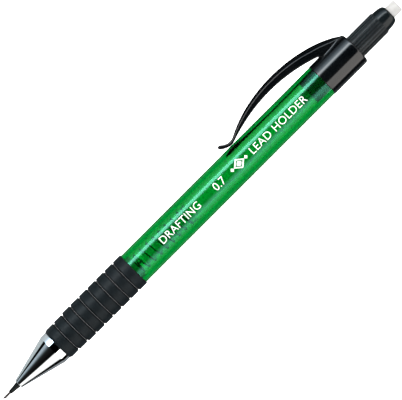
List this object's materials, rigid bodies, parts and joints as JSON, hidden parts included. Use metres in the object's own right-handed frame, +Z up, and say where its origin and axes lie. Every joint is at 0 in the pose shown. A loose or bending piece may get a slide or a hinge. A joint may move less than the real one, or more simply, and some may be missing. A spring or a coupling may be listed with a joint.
{
  "type": "mechanical pencil",
  "caption": "Automatic pencil with transparent barrel, ringed rubber grip, chrome cone, sliding nose sleeve, sprung clip, push button and twist-out eraser.",
  "frame": {"origin": "on the pencil's axis, at the middle of the seven full-radius rings of the grip, which is the grip_holder mount", "axes": "+X along the pencil from the point to the eraser, +Y from the axis to the clip, +Z up as it lies on a table with the clip to one side"},
  "size_m": [0.1479, 0.0156, 0.0104],
  "materials": {
    "graphite": "dark grey polymer lead",
    "point_plastic": "satin black",
    "retainer_rubber": "soft brown rubber",
    "spring_wire": "drawn wire",
    "chrome_plate": "polished chrome plate on brass",
    "seat_plastic": "natural moulded",
    "chuck_brass": "turned brass",
    "ring_steel": "turned",
    "housing_plastic": "moulded black",
    "grip_rubber": "matt black",
    "barrel_clear": "transparent green, polished",
    "tube_clear": "clear",
    "gloss_black": "polished black",
    "core_plastic": "natural white",
    "button_black": "satin black with fine flutes",
    "eraser_white": "matt white"
  },
  "bodies": {
    "barrel": {"barrel": "barrel_clear", "grip": "grip_rubber", "tip_cone": "chrome_plate", "spring_seat": "seat_plastic", "chuck_housing": "housing_plastic", "clip_collar": "gloss_black", "sleeve_spring": "spring_wire", "return_spring": "spring_wire"},
    "clip": {"clip_arm": "gloss_black"},
    "nose_sleeve": {"nose_sleeve": "point_plastic", "lead_retainer": "retainer_rubber"},
    "lead": {"lead": "graphite"},
    "chuck_ring": {"chuck_ring": "ring_steel"},
    "push_unit": {"lead_tube": "tube_clear", "chuck_coupler": "chuck_brass", "chuck_spring": "spring_wire"},
    "chuck": {"chuck": "chuck_brass"},
    "eraser_unit": {"spiral_core": "core_plastic"},
    "push_button": {"twist_knob": "button_black"},
    "eraser": {"eraser_holder": "core_plastic", "eraser": "eraser_white"}
  },
  "joints": [
    {"name": "button_push", "type": "slide", "parent": "barrel", "child": "push_unit", "axis": [-1, 0, 0], "range_m": [0, 0.0035], "stiffness_N_per_m": 400, "springref_m": -0.012, "deforming": ["return_spring"]},
    {"name": "ring_slide", "type": "slide", "parent": "barrel", "child": "chuck_ring", "axis": [-1, 0, 0], "range_m": [0, 0.0009]},
    {"name": "chuck_float", "type": "slide", "parent": "push_unit", "child": "chuck", "axis": [-1, 0, 0], "range_m": [0, 0.0006], "stiffness_N_per_m": 200, "springref_m": -0.0015, "deforming": ["chuck_spring"]},
    {"name": "sleeve_slide", "type": "slide", "parent": "barrel", "child": "nose_sleeve", "axis": [1, 0, 0], "range_m": [0, 0.0025], "stiffness_N_per_m": 75, "springref_m": -0.0014, "deforming": ["sleeve_spring"]},
    {"name": "lead_feed", "type": "slide", "parent": "barrel", "child": "lead", "axis": [-1, 0, 0], "range_m": [-0.0026, 0.01]},
    {"name": "eraser_unit_pull", "type": "slide", "parent": "push_unit", "child": "eraser_unit", "axis": [1, 0, 0], "range_m": [0, 0.012]},
    {"name": "button_twist", "type": "hinge", "parent": "eraser_unit", "child": "push_button", "pos_m": [0.09394, 0, 0], "axis": [1, 0, 0], "range_deg": [-181, 481]},
    {"name": "eraser_feed", "type": "slide", "parent": "push_button", "child": "eraser", "axis": [1, 0, 0], "range_m": [-0.003, 0.008]},
    {"name": "clip_flex", "type": "hinge", "parent": "barrel", "child": "clip", "pos_m": [0.08534, 0.00858, 0], "axis": [0, 0, -1], "range_deg": [0, 6], "stiffness_Nm_per_rad": 1}
  ],
  "couplings": [
    {"joint": "ring_slide", "follows": "button_push", "ratio": 0.25},
    {"joint": "button_twist", "follows": "eraser_feed", "rad_per_m": 1047.2}
  ]
}
